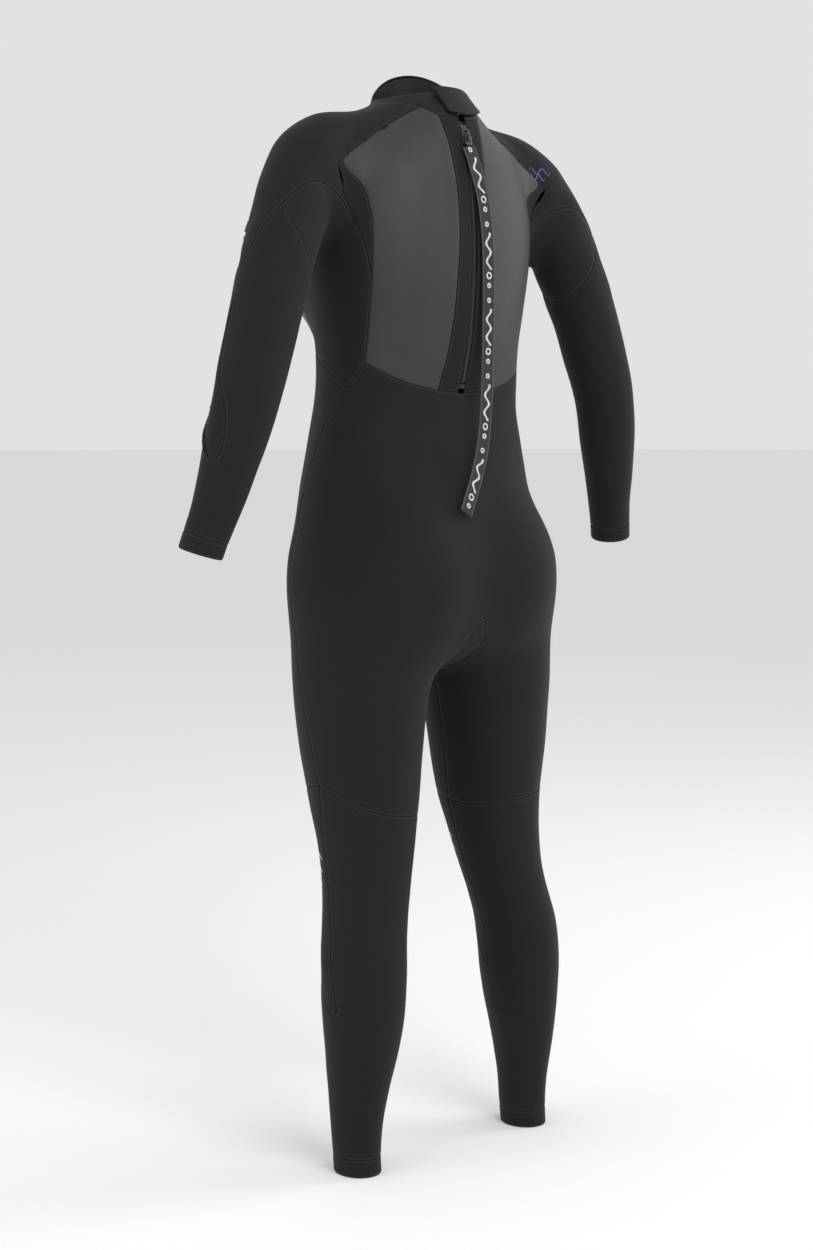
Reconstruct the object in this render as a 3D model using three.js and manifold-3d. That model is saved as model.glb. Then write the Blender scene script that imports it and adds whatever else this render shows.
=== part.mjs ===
// A full wetsuit with a back zip, standing open as if worn: every neoprene panel is its own
// 3 mm sheet, cut along the suit's real seams, and the zip, its pull leash and the collar tab
// are separate pieces. Millimetres, +Z up, front towards -Y, the wearer's left towards +X,
// origin on the floor below the middle of the suit.

import * as THREE from 'three';
import { mergeVertices } from 'three/addons/utils/BufferGeometryUtils.js';
import Module from 'manifold-3d';

const wasm = await Module();
wasm.setup();

// ---- Driving dimensions ----

const suitHeight = 1367;
const girthScale = 1;
const neopreneWall = 3;
const seamGap = 0.3;
const collarBack = 36;
const collarFront = 60;
const collarLean = 26;
const cuffLength = 19;
const hemLength = 22;

const zipSlit = 9;
const zipTapeWidth = 15;
const zipTapeWall = 0.8;
const zipFlapWidth = 64;
const zipFlapWall = 1.5;
const toothDepth = 2.6;
const stopLength = 5;
const runningGap = 0.4;
const layerGap = 0.85;

const slider = { width: 13, length: 21, plate: 2, bridgeWidth: 4, bridgeRoom: 3.4, bridgeWall: 1.6 };
const pull = { width: 11, length: 13, wall: 1.8, eyeWidth: 5.4, eyeLength: 7.4, bar: 2 };
const leash = { width: 20, wall: 2 };

const tab = { root: 20, reach: 50, wall: 3 };
const patchWall = 1;

const drawnHeight = 1367;
const heightScale = suitHeight / drawnHeight;
const halfSlit = zipSlit / 2;

// ---- The suit's outer surface ----

// The middle of the back follows one arc, so that the zip slider can turn about its centre.
const zipArc = { y: -471.7, z: 1126, radius: 573 };

function arcBack(z) {
  return zipArc.y + Math.sqrt(zipArc.radius ** 2 - (z - zipArc.z) ** 2);
}

// Each row is one level section of the torso: its height, its half width, and where its
// front, its fullest part and its back lie.
const torsoSections = [
  [630, 120, -70, 0, 80],
  [660, 160, -96, 0, 98],
  [700, 182, -112, -4, 108],
  [740, 184, -117, -6, 108],
  [820, 172, -119, -6, 101],
  [890, 159, -116, 0, 85],
  [940, 150, -113, 4, 76],
  [960, 147, -112, 5, arcBack(960)],
  [980, 145, -111, 6, arcBack(980)],
  [1020, 146, -110, 2, arcBack(1020)],
  [1060, 152, -108, 0, arcBack(1060)],
  [1120, 162, -107, 0, arcBack(1120)],
  [1180, 165, -101, 0, arcBack(1180)],
  [1230, 152, -86, 0, arcBack(1230)],
  [1270, 118, -70, 0, arcBack(1270)],
  [1300, 80, -64, -6, arcBack(1300)],
  [1320, 60, -63, -8, 60],
  [1345, 52, -64, -12, 42],
  [1390, 50, -68, -18, 32],
];
const torsoBottom = 630;

// Each row is one level section of a leg: its height, how far out and how far back its
// middle lies, its half width and its half depth.
const legSections = [
  [0, 143, 46, 28, 32],
  [40, 143, 44, 29, 33],
  [80, 142, 45, 33, 37],
  [120, 140, 46, 39, 43],
  [160, 136, 47, 45, 49],
  [200, 134, 47, 50, 53],
  [240, 132, 46, 52, 55],
  [280, 129, 42, 52, 55],
  [320, 121, 35, 52, 55],
  [360, 113, 28, 54, 58],
  [400, 108, 22, 58, 63],
  [440, 106, 16, 64, 70],
  [480, 106, 13, 69, 76],
  [520, 107, 11, 74, 81],
  [560, 106, 9, 78, 86],
  [600, 104, 8, 82, 90],
  [660, 101, 6, 85, 92],
  [730, 96, 4, 78, 84],
];
const legTop = 770;

// Each row is one point down the middle of an arm, from the collar bone, and the radius there.
const armPoints = [
  [66, -4, 1274, 29],
  [120, 0, 1263, 36],
  [172, 3, 1241, 45],
  [204, 12, 1200, 46],
  [234, 24, 1140, 44.5],
  [260, 31, 1075, 43],
  [280, 35, 1015, 41.5],
  [297, 37, 960, 39.5],
  [309, 31, 910, 37],
  [321, 24, 860, 32.5],
  [332, 15, 815, 28],
  [341, 9, 785, 26.5],
  [347, 4, 760, 26],
];
const armSteps = 48;

// Rounded masses that fill the suit out on each side: the chest and the seat.
const chestMass = { centre: [66, -84, 1112], half: [62, 56, 64] };
const seatMass = { centre: [72, 54, 732], half: [82, 78, 96] };

// How softly each pair of masses runs into the other.
const blend = { cap: 40, mass: 50, crotch: 22, hip: 34, shoulder: 32 };

function splineOf(rows) {
  const heights = rows.map((row) => row[0]);
  const values = rows.flatMap((row) => row.slice(1));
  return new THREE.CubicInterpolant(heights, values, rows[0].length - 1);
}

const torsoSpline = splineOf(torsoSections);
const legSpline = splineOf(legSections);

function armLinePoints() {
  const curve = new THREE.CatmullRomCurve3(armPoints.map(([x, y, z]) => new THREE.Vector3(x, y, z)));
  const line = [];
  for (let i = 0; i <= armSteps; i++) {
    const along = i / armSteps * (armPoints.length - 1);
    const row = Math.min(Math.floor(along), armPoints.length - 2);
    const radius = THREE.MathUtils.lerp(armPoints[row][3], armPoints[row + 1][3], along - row);
    line.push({ at: curve.getPoint(i / armSteps), radius });
  }
  return line;
}
const armLine = armLinePoints();

function smoothMin(a, b, reach) {
  const near = Math.max(reach - Math.abs(a - b), 0) / reach;
  return Math.min(a, b) - near * near * reach / 4;
}

function ellipseDistance(dx, dy, halfX, halfY) {
  const level = (dx / halfX) ** 2 + (dy / halfY) ** 2;
  const slope = 2 * Math.hypot(dx / halfX ** 2, dy / halfY ** 2);
  return (level - 1) / Math.max(slope, 1 / halfX);
}

function torsoDistance(x, y, z) {
  const [half, front, fullest, back] = torsoSpline.evaluate(z);
  const depth = y > fullest ? back - fullest : fullest - front;
  const side = ellipseDistance(x, y - fullest, half, depth);
  return -smoothMin(-side, z - torsoBottom, blend.cap);
}

function legDistance(x, y, z) {
  const [middleX, middleY, halfX, halfY] = legSpline.evaluate(Math.max(z, 0));
  const side = ellipseDistance(x - middleX, y - middleY, halfX, halfY);
  return -smoothMin(-side, legTop - z, blend.cap);
}

function armDistance(x, y, z) {
  let best = Infinity;
  for (let i = 0; i < armSteps; i++) {
    const { at: start, radius } = armLine[i];
    const { at: end, radius: endRadius } = armLine[i + 1];
    const ux = end.x - start.x;
    const uy = end.y - start.y;
    const uz = end.z - start.z;
    const run = (x - start.x) * ux + (y - start.y) * uy + (z - start.z) * uz;
    const open = Math.max(0, run / (ux * ux + uy * uy + uz * uz));
    const t = i === armSteps - 1 ? open : Math.min(open, 1);
    const gap = Math.hypot(x - start.x - ux * t, y - start.y - uy * t, z - start.z - uz * t);
    best = Math.min(best, gap - radius - (endRadius - radius) * Math.min(t, 1));
  }
  return best;
}

function massDistance(x, y, z, { centre, half }) {
  const dx = x - centre[0];
  const dy = y - centre[1];
  const dz = z - centre[2];
  const level = Math.hypot(dx / half[0], dy / half[1], dz / half[2]);
  const slope = Math.hypot(dx / half[0] ** 2, dy / half[1] ** 2, dz / half[2] ** 2);
  return (level - 1) * level / Math.max(slope, 0.001);
}

// The distance from the suit's outer surface: less than zero inside it.
function surfaceDistance(point) {
  const x = point.x / girthScale;
  const y = point.y / girthScale;
  const z = point.z / heightScale;
  let distance = torsoDistance(x, y, z);
  for (const mass of [chestMass, seatMass]) {
    const pair = smoothMin(massDistance(x, y, z, mass), massDistance(-x, y, z, mass), blend.mass);
    distance = smoothMin(distance, pair, blend.mass);
  }
  const legs = smoothMin(legDistance(x, y, z), legDistance(-x, y, z), blend.crotch);
  distance = smoothMin(distance, legs, blend.hip);
  return smoothMin(distance, armDistance(Math.abs(x), y, z), blend.shoulder);
}

const probe = 0.2;

function surfaceSlope(point) {
  const slope = new THREE.Vector3();
  const moved = point.clone();
  for (const axis of ['x', 'y', 'z']) {
    moved[axis] = point[axis] + probe;
    const ahead = surfaceDistance(moved);
    moved[axis] = point[axis] - probe;
    slope[axis] = (ahead - surfaceDistance(moved)) / (2 * probe);
    moved[axis] = point[axis];
  }
  return slope;
}

// Moves a point straight to the sheet that lies `level` outside the surface.
function settle(point, level = 0, steps = 12) {
  const settled = point.clone();
  for (let i = 0; i < steps; i++) {
    const error = surfaceDistance(settled) - level;
    if (Math.abs(error) < 0.001) break;
    const slope = surfaceSlope(settled);
    settled.addScaledVector(slope, -error / slope.lengthSq());
  }
  return settled;
}

// ---- Seams ----

// Places where seams meet, on the wearer's left.
const at = {
  collarZip: [halfSlit, 77, 1291],
  collarStrip: [32, 70, 1296],
  collarRaglan: [46, 53, 1306],
  collarRaglanFront: [46, -56, 1300],
  collarFront: [0, -69, 1298],
  shoulderBack: [163, 47, 1230],
  shoulderFront: [136, -54, 1230],
  sideBack: [129, 59, 1098],
  sideFront: [130, -78, 1098],
  armholeBack: [178, 48, 1195],
  armholeFront: [180, -44, 1193],
  sleeveBack: [255, 50, 1176],
  sleeveFront: [250, -18, 1164],
  sleeveOuter: [298, 22, 1102],
  elbowTop: [304, 24, 1075],
  elbowTip: [349, 38, 877],
  waistBack: [127, 43, 996],
  waistFront: [118, -66, 1016],
  waistTip: [140, 26, 965],
  waistStrip: [36, 71, 964],
  waistZip: [0, 73, 962],
  waistMiddleFront: [0, -112, 992],
  hip: [181, -30, 720],
  seatMiddle: [0, 100, 692],
  bellyMiddle: [0, -100, 688],
  innerThigh: [26, 8, 648],
  kneeOuter: [174, 13, 482],
  kneeInner: [44, 8, 440],
  shinOuter: [183, 57, 207],
  shinInner: [83, 42, 220],
};

// Each seam's points between its two ends, and how many edges it is cut into.
const seams = {
  collarAtStrip: [at.collarZip, at.collarStrip, [], 2],
  collarAtBack: [at.collarStrip, at.collarRaglan, [], 1],
  collarAtShoulder: [at.collarRaglan, at.collarRaglanFront,
    [[62, 19, 1316], [68, -8, 1314], [62, -36, 1307]], 16],
  collarAtChest: [at.collarRaglanFront, at.collarFront, [[24, -66, 1298]], 2],
  zipEdge: [at.collarZip, [halfSlit, 73, 962],
    [[halfSlit, 93, 1222], [halfSlit, 101.5, 1130], [halfSlit, 92, 1035]], 10],
  stripEdge: [at.collarStrip, at.waistStrip,
    [[27, 83, 1260], [23, 96, 1202], [24, 100, 1144], [27, 98, 1084], [30, 88, 1020]], 10],
  raglanBack: [at.collarRaglan, at.shoulderBack, [[93, 43, 1280], [130, 45, 1257]], 4],
  raglanFront: [at.collarRaglanFront, at.shoulderFront, [[78, -58, 1284], [114, -54, 1260]], 4],
  overShoulder: [at.shoulderBack, at.shoulderFront,
    [[182, 38, 1240], [193, 8, 1246], [178, -34, 1242]], 16],
  shoulderToSideBack: [at.shoulderBack, at.sideBack, [[139, 51, 1208], [130, 60, 1168], [129, 61, 1134]], 5],
  shoulderToSideFront: [at.shoulderFront, at.sideFront, [[138, -58, 1203], [133, -70, 1155]], 5],
  sideToWaistBack: [at.sideBack, at.waistBack, [[127, 51, 1045]], 5],
  sideToWaistFront: [at.sideFront, at.waistFront, [[124, -73, 1056]], 5],
  armholeLowBack: [at.sideBack, at.armholeBack, [[137, 55, 1136], [149, 47, 1168]], 3],
  armholeLowFront: [at.sideFront, at.armholeFront, [[138, -70, 1132], [154, -58, 1165]], 3],
  armholeHighBack: [at.armholeBack, at.sleeveBack, [[207, 58, 1205], [232, 56, 1197]], 2],
  armholeHighFront: [at.armholeFront, at.sleeveFront, [[204, -38, 1202], [228, -30, 1188]], 2],
  sleeveTopBack: [at.sleeveBack, at.sleeveOuter, [[276, 40, 1148], [289, 29, 1121]], 3],
  sleeveTopFront: [at.sleeveFront, at.sleeveOuter, [[270, -14, 1148], [289, 2, 1121]], 3],
  sleeveUnder: [at.sleeveBack, at.sleeveFront,
    [[248, 66, 1146], [236, 71, 1121], [220, 58, 1098], [212, 30, 1082], [216, 2, 1095],
      [230, -14, 1120], [243, -18, 1148]], 6],
  sideRow: [at.sideBack, at.sideFront, [[150, 35, 1095], [163, 0, 1095], [152, -45, 1095]], 6],
  armpitRow: [at.armholeBack, at.armholeFront, [[186, 38, 1150], [190, 10, 1120], [186, -22, 1150]], 6],
  waistBackTip: [at.waistBack, at.waistTip, [], 2],
  waistSide: [at.waistTip, at.waistFront, [[145, 2, 983], [137, -36, 1003]], 4],
  waistAtBack: [at.waistBack, at.waistStrip, [[87, 64, 975]], 5],
  waistAtStrip: [at.waistStrip, at.waistZip, [], 2],
  waistAtChest: [at.waistFront, at.waistMiddleFront, [[80, -96, 1004], [40, -109, 995]], 6],
  seatLine: [at.waistZip, at.seatMiddle, [[0, 84, 890], [0, 100, 820], [0, 112, 760]], 7],
  bellyLine: [at.waistMiddleFront, at.bellyMiddle, [[0, -115, 890], [0, -117, 790]], 7],
  sideSeamUpper: [at.waistTip, at.hip,
    [[152, 1, 927], [161, -18, 879], [168, -30, 830], [175, -33, 780]], 7],
  sideSeamLower: [at.hip, at.kneeOuter, [[185, -20, 650], [184, -8, 590], [180, 6, 530]], 8],
  seatRow: [at.hip, at.seatMiddle, [[172, 50, 715], [120, 118, 705], [55, 135, 700]], 9],
  hipRow: [at.hip, at.bellyMiddle, [[160, -80, 715], [110, -106, 705], [50, -110, 695]], 10],
  gussetBack: [at.seatMiddle, at.innerThigh, [[19, 70, 664]], 3],
  gussetFront: [at.bellyMiddle, at.innerThigh, [[19, -55, 662]], 3],
  innerSeam: [at.innerThigh, at.kneeInner, [[24, 6, 600], [29, 6, 560], [34, 8, 520], [38, 9, 480]], 5],
  kneeBack: [at.kneeOuter, at.kneeInner, [[161, 56, 462], [122, 84, 448], [79, 80, 442], [50, 44, 438]], 9],
  kneeFront: [at.kneeOuter, at.kneeInner,
    [[158, -36, 472], [120, -54, 462], [80, -48, 452], [52, -22, 444]], 10],
  kneeOuterEdge: [at.kneeOuter, at.shinOuter, [[168, 10, 426], [166, 14, 376], [173, 33, 312]], 7],
  kneeInnerEdge: [at.kneeInner, at.shinInner, [[50, 12, 400], [60, 22, 340], [74, 36, 280]], 7],
  kneeLowEdge: [at.shinOuter, at.shinInner,
    [[184, 40, 234], [176, 14, 262], [155, -4, 284], [128, -11, 292], [104, -4, 284], [88, 16, 258]], 10],
  calfRow: [at.shinOuter, at.shinInner, [[165, 84, 210], [134, 98, 212], [104, 84, 214]], 9],
  elbowBack: [at.elbowTop, at.elbowTip, [[327, 25, 994], [339, 52, 920]], 6],
  elbowFront: [at.elbowTop, at.elbowTip, [[312, 2, 1030], [320, -5, 985], [334, 2, 925]], 6],
};

function vector([x, y, z]) {
  return new THREE.Vector3(x * girthScale, y * girthScale, z * heightScale);
}

function curveOnSuit(points, steps) {
  const curve = new THREE.CatmullRomCurve3(points.map(vector));
  return curve.getSpacedPoints(steps).map((point) => settle(point));
}

const cutSeams = Object.fromEntries(Object.entries(seams).map(([name, [start, end, through, steps]]) => {
  return [name, curveOnSuit([start, ...through, end], steps)];
}));

// Joins seams end to end. A minus sign before a name runs that seam backwards.
function chain(...names) {
  const joined = [];
  for (const name of names) {
    const backwards = name.startsWith('-');
    const points = [...cutSeams[backwards ? name.slice(1) : name]];
    if (backwards) points.reverse();
    joined.push(...(joined.length ? points.slice(1) : points));
  }
  return joined;
}

// ---- Level rings round the limbs and the collar ----

const cuffHeight = 790;
const elbowTopTurn = THREE.MathUtils.degToRad(101);
const elbowTipTurn = THREE.MathUtils.degToRad(68);

function ringAngles(start, steps) {
  return Array.from({ length: steps + 1 }, (_, i) => start + i / steps * 2 * Math.PI);
}

// A ring round an arm, square to it, from its outer side by way of the back.
function armRing(height, startAngle, steps) {
  const points = armLine.map(({ at: p }) => p);
  const index = points.findIndex((p) => p.z <= height);
  const above = points[index - 1];
  const below = points[index];
  const middle = above.clone().lerp(below, (above.z - height) / (above.z - below.z));
  const down = below.clone().sub(above).normalize();
  const back = new THREE.Vector3(0, 1, 0).addScaledVector(down, -down.y).normalize();
  const outward = back.clone().cross(down).negate();
  if (outward.x < 0) outward.negate();
  const radius = armLine[index].radius;
  return ringAngles(0, steps).map((angle) => {
    const turn = startAngle - angle;
    const point = middle.clone();
    point.addScaledVector(outward, radius * Math.sin(turn)).addScaledVector(back, radius * Math.cos(turn));
    return settle(vector(point.toArray()));
  });
}

// A level ring round a leg, from its inner side by way of the back.
function legRing(height, steps) {
  const [middleX, middleY, halfX, halfY] = legSpline.evaluate(height);
  return ringAngles(-Math.PI / 2, steps).map((angle) => {
    const x = middleX + halfX * Math.sin(angle);
    const y = middleY + halfY * Math.cos(angle);
    const point = settle(vector([x, y, height]));
    point.z = height * heightScale;
    return point;
  });
}

const neck = { middle: -11, halfWidth: 52, halfDepth: 53 };

// The collar's upper rim on one side, above the seam from the zip to the middle of the front.
// The rim rises towards the front, and stands higher on the wearer's right than on the left.
function collarRim(seam, side) {
  const first = seam[0].z;
  const last = seam[seam.length - 1].z;
  return seam.map((point, i) => {
    const turn = Math.PI * i / (seam.length - 1);
    const rise = (1 - Math.cos(turn)) / 2;
    const x = i === 0 ? halfSlit : neck.halfWidth * Math.sin(turn);
    const y = neck.middle + neck.halfDepth * Math.cos(turn);
    const even = THREE.MathUtils.lerp(first + collarBack, last + collarFront, rise ** 2);
    const z = even - side * collarLean * Math.sin(turn) * rise;
    const rim = settle(new THREE.Vector3(x * girthScale, y * girthScale, z));
    rim.z = z;
    return rim;
  });
}

// ---- Sheets ----

// A grid of points between four edges, settled on the sheet `level` outside the surface.
function gridBetween(top, bottom, left, right, level = 0) {
  const columns = top.length - 1;
  const rows = left.length - 1;
  const grid = [];
  for (let r = 0; r <= rows; r++) {
    const v = r / rows;
    const line = [];
    for (let c = 0; c <= columns; c++) {
      const u = c / columns;
      const across = left[r].clone().lerp(right[r], u);
      const down = top[c].clone().lerp(bottom[c], v);
      const lowCorners = bottom[0].clone().lerp(bottom[columns], u);
      const corners = top[0].clone().lerp(top[columns], u).lerp(lowCorners, v);
      const sideEdge = { 0: left, [columns]: right }[c]?.[r];
      const edge = { 0: top, [rows]: bottom }[r]?.[c] ?? sideEdge;
      line.push(edge ? edge.clone() : settle(across.add(down).sub(corners), level));
    }
    grid.push(line);
  }
  relax(grid, level);
  return grid;
}

// A grid whose rows run from edge to edge by the shortest way, for a sheet that ends in a deep
// crease, where an evened-out grid would slip across the seam.
function ruledBetween(top, bottom, left, right) {
  const columns = top.length - 1;
  const rows = left.length - 1;
  return left.map((_, r) => top.map((above, c) => {
    const sideEdge = { 0: left, [columns]: right }[c]?.[r];
    const edge = { 0: top, [rows]: bottom }[r]?.[c] ?? sideEdge;
    return edge ? edge.clone() : settle(above.clone().lerp(bottom[c], r / rows));
  }));
}

const relaxRounds = 6;

function relax(grid, level) {
  for (let round = 0; round < relaxRounds; round++) {
    for (let r = 1; r < grid.length - 1; r++) {
      for (let c = 1; c < grid[r].length - 1; c++) {
        const sum = new THREE.Vector3();
        for (const near of [grid[r - 1][c], grid[r + 1][c], grid[r][c - 1], grid[r][c + 1]]) sum.add(near);
        grid[r][c] = settle(sum.divideScalar(4), level, 3);
      }
    }
  }
}

function mirrored(grid) {
  return grid.map((line) => line.map((point) => new THREE.Vector3(-point.x, point.y, point.z)));
}

const weld = 0.02;

// Joins grids into one sheet. Its faces all wind the same way, outwards. A grid marked as
// slit keeps its last column apart from the points that it lies on.
function sheetOf(grids) {
  const points = [];
  const faces = [];
  const found = new Map();
  function indexOf(point, mark) {
    const key = [point.x, point.y, point.z].map((value) => Math.round(value / weld)).join() + mark;
    if (!found.has(key)) found.set(key, points.push(point.clone()) - 1);
    return found.get(key);
  }
  for (const grid of grids) {
    const ids = grid.map((line) => line.map((point, c) => {
      return indexOf(point, grid.slit && c === line.length - 1 ? 'slit' : '');
    }));
    const cells = [];
    for (let r = 1; r < ids.length; r++) {
      for (let c = 1; c < ids[r].length; c++) {
        const quad = [ids[r - 1][c - 1], ids[r][c - 1], ids[r][c], ids[r - 1][c]];
        cells.push(quad.filter((id, i) => id !== quad[(i + 3) % 4]));
      }
    }
    const outward = cells.reduce((sum, face) => sum + outwardShare(points, face), 0) > 0;
    faces.push(...cells.filter((face) => face.length > 2).map((face) => outward ? face : face.reverse()));
  }
  return { points, faces };
}

// More than zero when a face's corners wind so that it faces out of the suit.
function outwardShare(points, face) {
  if (face.length < 3) return 0;
  const corners = face.map((id) => points[id]);
  const last = corners[corners.length - 1];
  const slope = corners[1].clone().sub(corners[0]).cross(last.clone().sub(corners[0]));
  return slope.dot(surfaceSlope(corners[0]));
}

const mostMitre = 3;

// Draws the rim of a sheet in by half the seam gap, within the sheet.
function drawnIn(points, faces, slopes) {
  const next = new Map();
  const previous = new Map();
  const known = new Set(faces.flatMap((face) => face.map((id, i) => `${id},${face[(i + 1) % face.length]}`)));
  for (const face of faces) {
    face.forEach((id, i) => {
      const after = face[(i + 1) % face.length];
      if (known.has(`${after},${id}`)) return;
      next.set(id, after);
      previous.set(after, id);
    });
  }
  const moved = points.map((point) => point.clone());
  for (const [id, after] of next) {
    const before = previous.get(id);
    const inwardA = slopes[id].clone().cross(points[id].clone().sub(points[before])).normalize();
    const inwardB = slopes[id].clone().cross(points[after].clone().sub(points[id])).normalize();
    const stretch = Math.min(1 / Math.max(1 + inwardA.dot(inwardB), 0.001), mostMitre);
    moved[id].addScaledVector(inwardA.add(inwardB), stretch * seamGap / 2);
  }
  return { moved, next };
}

// A closed slab: the sheet as its outer face, and the same sheet one wall further in.
function slab(grids, wall = neopreneWall, flatFloor = false) {
  const { points, faces } = sheetOf(grids);
  const slopes = points.map((point) => surfaceSlope(point).normalize());
  const { moved, next } = drawnIn(points, faces, slopes);
  const outer = moved;
  const inner = moved.map((point, id) => point.clone().addScaledVector(slopes[id], -wall));
  if (flatFloor) {
    for (const id of next.keys()) {
      if (points[id].z > 1) continue;
      outer[id].z = 0;
      inner[id].z = 0;
    }
  }
  const count = points.length;
  const triangles = [];
  for (const face of faces) {
    for (const [a, b, c] of cutFace(outer, face)) {
      triangles.push([a, b, c], [c + count, b + count, a + count]);
    }
  }
  for (const [a, b] of next) {
    triangles.push(...rimTriangles(a, b, count, isAbove(points[a], points[b])));
  }
  return geometryOf([...outer, ...inner], triangles);
}

// Two panels that share a seam cut its rim along the same diagonals, so the gap stays even.
function rimTriangles(a, b, count, fromA) {
  return fromA
    ? [[b, a, b + count], [a, a + count, b + count]]
    : [[b, a, a + count], [b, a + count, b + count]];
}

function isAbove(a, b) {
  return Math.abs(a.z - b.z) > weld ? a.z > b.z : a.y > b.y;
}

function cutFace(points, face) {
  if (face.length === 3) return [face];
  const [a, b, c, d] = face;
  const straight = points[a].distanceTo(points[c]) <= points[b].distanceTo(points[d]);
  return straight ? [[a, b, c], [a, c, d]] : [[b, c, d], [b, d, a]];
}

function geometryOf(points, triangles) {
  const geometry = new THREE.BufferGeometry();
  geometry.setAttribute('position', new THREE.Float32BufferAttribute(points.flatMap((p) => p.toArray()), 3));
  geometry.setIndex(triangles.flat());
  geometry.computeVertexNormals();
  return geometry;
}

// ---- Materials ----

function material(color, roughness, metalness = 0) {
  return new THREE.MeshStandardMaterial({ color, roughness, metalness });
}

const jersey = material(0x28282a, 0.85);
const smoothSkin = material(0x3c3c3d, 0.6);
const collarRubber = material(0x2a2a2c, 0.7);
const kneeFabric = material(0x242426, 0.8);
const tape = material(0x161617, 0.9);
const plastic = material(0x1c1c1e, 0.4);
const webbing = material(0x1b1b1c, 0.9);
const fastener = material(0x141415, 0.95);

// ---- The panels ----

const suit = new THREE.Group();

function add(name, geometry, look) {
  const mesh = new THREE.Mesh(geometry, look);
  mesh.name = name;
  suit.add(mesh);
  return mesh;
}

// A panel on the wearer's left, and its twin on the right.
function addPair(name, grids, look, wall, flatFloor) {
  add(`${name}_left`, slab(grids, wall, flatFloor), look);
  const twins = grids.map((grid) => Object.assign(mirrored(grid), { slit: grid.slit }));
  add(`${name}_right`, slab(twins, wall, flatFloor), look);
}

// One panel that runs across the middle of the suit.
function addWhole(name, grids, look) {
  add(name, slab([...grids, ...grids.map(mirrored)]), look);
}

// The middle of the front, from the collar to the waist.
function chestLine(steps) {
  const points = Array.from({ length: steps + 1 }, (_, i) => {
    const [start, end] = [at.collarFront, at.waistMiddleFront].map(vector);
    return start.lerp(end, i / steps);
  });
  return points.map((point) => settle(point));
}

function backPanels() {
  const [outer, between, middle] = cutSeams.waistAtStrip;
  const zipSide = middle.clone().lerp(between, halfSlit / (between.x - middle.x));
  const zipEdge = chain('zipEdge');
  zipEdge[zipEdge.length - 1] = zipSide;
  const strip = gridBetween(chain('collarAtStrip'), [zipSide, between, outer], zipEdge, chain('stripEdge'));
  addPair('zip_strip', [strip], jersey);
  const back = gridBetween(chain('-raglanBack', '-collarAtBack'), chain('waistAtBack'),
    chain('shoulderToSideBack', 'sideToWaistBack'), chain('stripEdge'));
  addPair('back_panel', [back], smoothSkin);
}

function chestPanel() {
  const chest = gridBetween(chain('-raglanFront', 'collarAtChest'), chain('waistAtChest'),
    chain('shoulderToSideFront', 'sideToWaistFront'), chestLine(10));
  addWhole('chest_panel', [chest], smoothSkin);
}

function shoulderPanels() {
  const outer = chain('armholeLowBack', 'armholeHighBack', 'sleeveTopBack', '-sleeveTopFront',
    '-armholeHighFront', '-armholeLowFront');
  const middle = chain('overShoulder');
  const upper = gridBetween(chain('collarAtShoulder'), middle, chain('raglanBack'), chain('raglanFront'));
  const lower = ruledBetween(middle, outer, chain('shoulderToSideBack'), chain('shoulderToSideFront'));
  addPair('shoulder_panel', [upper, lower], jersey);
}

function underarmPanels() {
  const side = gridBetween(chain('sideRow'), chain('waistBackTip', 'waistSide'),
    chain('sideToWaistBack'), chain('sideToWaistFront'));
  const armhole = gridBetween(chain('armpitRow'), chain('sideRow'),
    chain('-armholeLowBack'), chain('-armholeLowFront'));
  const sleeve = gridBetween(chain('sleeveUnder'), chain('armpitRow'),
    chain('-armholeHighBack'), chain('-armholeHighFront'));
  addPair('underarm_panel', [side, armhole, sleeve], jersey);
}

function sleeves() {
  const steps = 12;
  const top = chain('-sleeveTopBack', 'sleeveUnder', 'sleeveTopFront');
  const elbowTopRing = armRing(at.elbowTop[2], elbowTopTurn, steps);
  const elbowTipRing = armRing(at.elbowTip[2], elbowTipTurn, steps);
  for (const [ring, seam, place] of [[elbowTopRing, 'elbowBack', 0], [elbowTipRing, 'elbowBack', 6]]) {
    ring[0] = cutSeams[seam][place].clone();
    ring[steps] = ring[0].clone();
  }
  const cuffRing = armRing(cuffHeight, elbowTipTurn, steps);
  const endRing = armRing(cuffHeight - cuffLength, elbowTipTurn, steps);
  const upper = gridBetween(top, elbowTopRing, straight(top[0], elbowTopRing[0], 2),
    straight(top[steps], elbowTopRing[steps], 2));
  const middle = gridBetween(elbowTopRing, elbowTipRing, chain('elbowBack'), chain('elbowFront'));
  const lower = gridBetween(elbowTipRing, cuffRing, straight(elbowTipRing[0], cuffRing[0], 3),
    straight(elbowTipRing[steps], cuffRing[steps], 3));
  const cuff = gridBetween(cuffRing, endRing, [cuffRing[0], endRing[0]], [cuffRing[steps], endRing[steps]]);
  addPair('sleeve', [upper, middle, lower], jersey);
  addPair('cuff', [cuff], jersey);

  const backEdge = chain('elbowBack');
  const frontEdge = chain('elbowFront');
  const tip = backEdge[backEdge.length - 1];
  const elbow = gridBetween([backEdge[0], backEdge[0], backEdge[0]], [tip, tip, tip], backEdge, frontEdge);
  addPair('elbow_panel', [elbow], kneeFabric);
}

function straight(start, end, steps) {
  return Array.from({ length: steps + 1 }, (_, i) => {
    const point = start.clone().lerp(end, i / steps);
    return i === 0 || i === steps ? point : settle(point);
  });
}

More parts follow.
